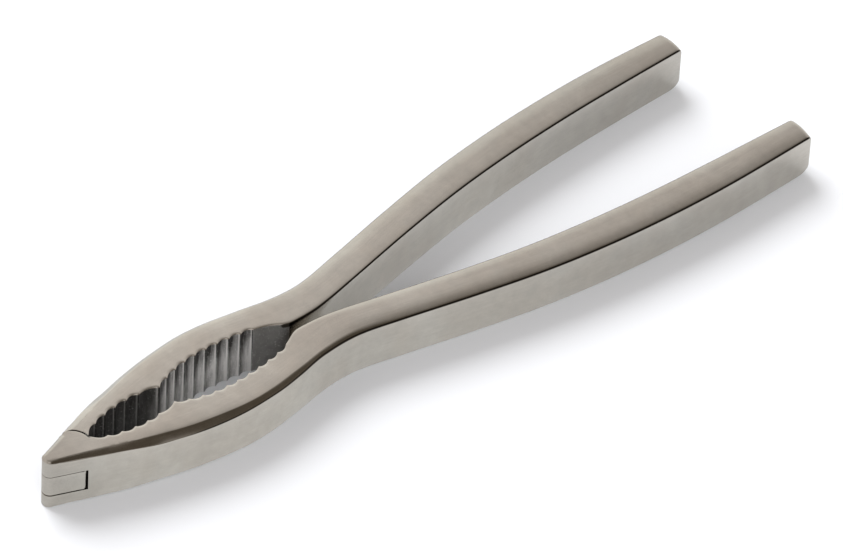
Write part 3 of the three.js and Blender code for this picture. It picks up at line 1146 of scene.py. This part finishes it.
# The colour of the dark reflection painted along the creases.
CREASE_PAINTED_REFLECTION = (0.05, 0.042, 0.034, 1)
STEEL_ROUGHNESS = 0.17
STREAK_STRETCH = (0.035, 1.0, 1.0)
BUMP_DEPTH = 0.06 * MM


def satin_steel(name, has_lanes):
    """A satin steel whose streaks follow the lanes of an arm, or the object's own X."""
    material = bpy.data.materials.new(name)
    material.use_nodes = True
    g = Graph(material.node_tree)
    place = g.add("VectorMath", {"operation": "SCALE"}, {
        0: g.add("TexCoord", {}, {}, output="Object"), "Scale": 1 / MM})
    lane = g.add("Attribute", {"attribute_name": "lane"}, {}, output="Vector") \
        if has_lanes else place
    streak_place = g.add("VectorMath", {"operation": "MULTIPLY"},
                         {0: lane, 1: STREAK_STRETCH})
    cloud = g.step(g.noise(place, 0.085, 2.0), 0.35, 0.65)
    blotches = g.noise(place, 0.33, 4.0, 0.6)
    streaks = g.noise(streak_place, 3.2, 3.0, 0.6)
    grain = g.noise(place, 5.5, 2.0, 0.6)
    pores = g.step(g.noise(place, 1.7, 5.0, 0.7), 0.62, 0.74)
    tint = g.blend(cloud * 0.45 + blotches * 0.35, STEEL_LIGHT, STEEL_WARM)
    value = 0.67 + 0.28 * blotches + 0.14 * streaks + 0.12 * grain - 0.10 * pores
    colour = g.blend(1.0, tint, g.grey(value), "MULTIPLY")
    rough = STEEL_ROUGHNESS - 0.05 + 0.07 * blotches + 0.05 * streaks
    metal = 1.0
    if has_lanes:
        # Painted shade along the arm darkens the colour.
        colour = g.blend(1.0, colour, g.grey(shade_along_arm(g, place, lane)), "MULTIPLY")
        jaw = g.attribute("jaw")
        walls, ridge, curtain = flute_walls_and_shade(g, place, lane, blotches)
        # The jaw walls bring their painted shade and highlight into the colour.
        colour = g.blend(jaw, colour, walls)
        metal = 1.0 - jaw * (0.35 + 0.35 * ridge)
        rough = rough + jaw * (0.12 + 0.24 * curtain)
        # Painted dark reflection: near the crease the colour turns near black, standing for the dark
        # room mirrored in the edge's small round.
        crease = g.step(g.attribute("crease"), 0.42, 0.70)
        colour = g.blend(crease, colour, CREASE_PAINTED_REFLECTION)
    height = 0.5 * g.noise(place, 0.2, 1.0) + 0.006 * streaks + 0.002 * grain - 0.003 * pores
    bump = g.add("Bump", {}, {"Strength": 1.0, "Distance": BUMP_DEPTH, "Height": height})
    steel = g.add("BsdfPrincipled", {}, {
        "Base Color": colour, "Roughness": rough, "Metallic": metal, "Normal": bump})
    g.add("OutputMaterial", {}, {"Surface": steel})
    print(name, "has", len(g.tree.nodes), "nodes")
    return material


arm_steel = satin_steel("satin_steel", True)
pin_steel = satin_steel("turned_steel", False)
for piece, steel in ((fork_arm, arm_steel), (tongue_arm, arm_steel), (hinge_pin, pin_steel)):
    piece.data.materials.clear()
    piece.data.materials.append(steel)
print("steel on", fork_arm.name, "and", tongue_arm.name, "and", hinge_pin.name)

# %% [markdown]
# ## Fixing the pieces to the frame
#
# Each finished piece now stands for one part of the engineer's model. It moves with
# that part's body, so the hinge opens for the fine model as it does for the plain one.

# %% Hand the pieces to the frame
for piece, node, body, slot in (
        (fork_arm, "fork_arm", "fork_side", "arm_steel"),
        (tongue_arm, "tongue_arm", "tongue_side", "arm_steel"),
        (hinge_pin, "hinge_pin", "fork_side", "pin_steel")):
    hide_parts(node)
    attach(piece, body)

low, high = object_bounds()
print("finished box, mm:", [round(1000 * (b - a), 2) for a, b in zip(low, high)])

# %% [markdown]
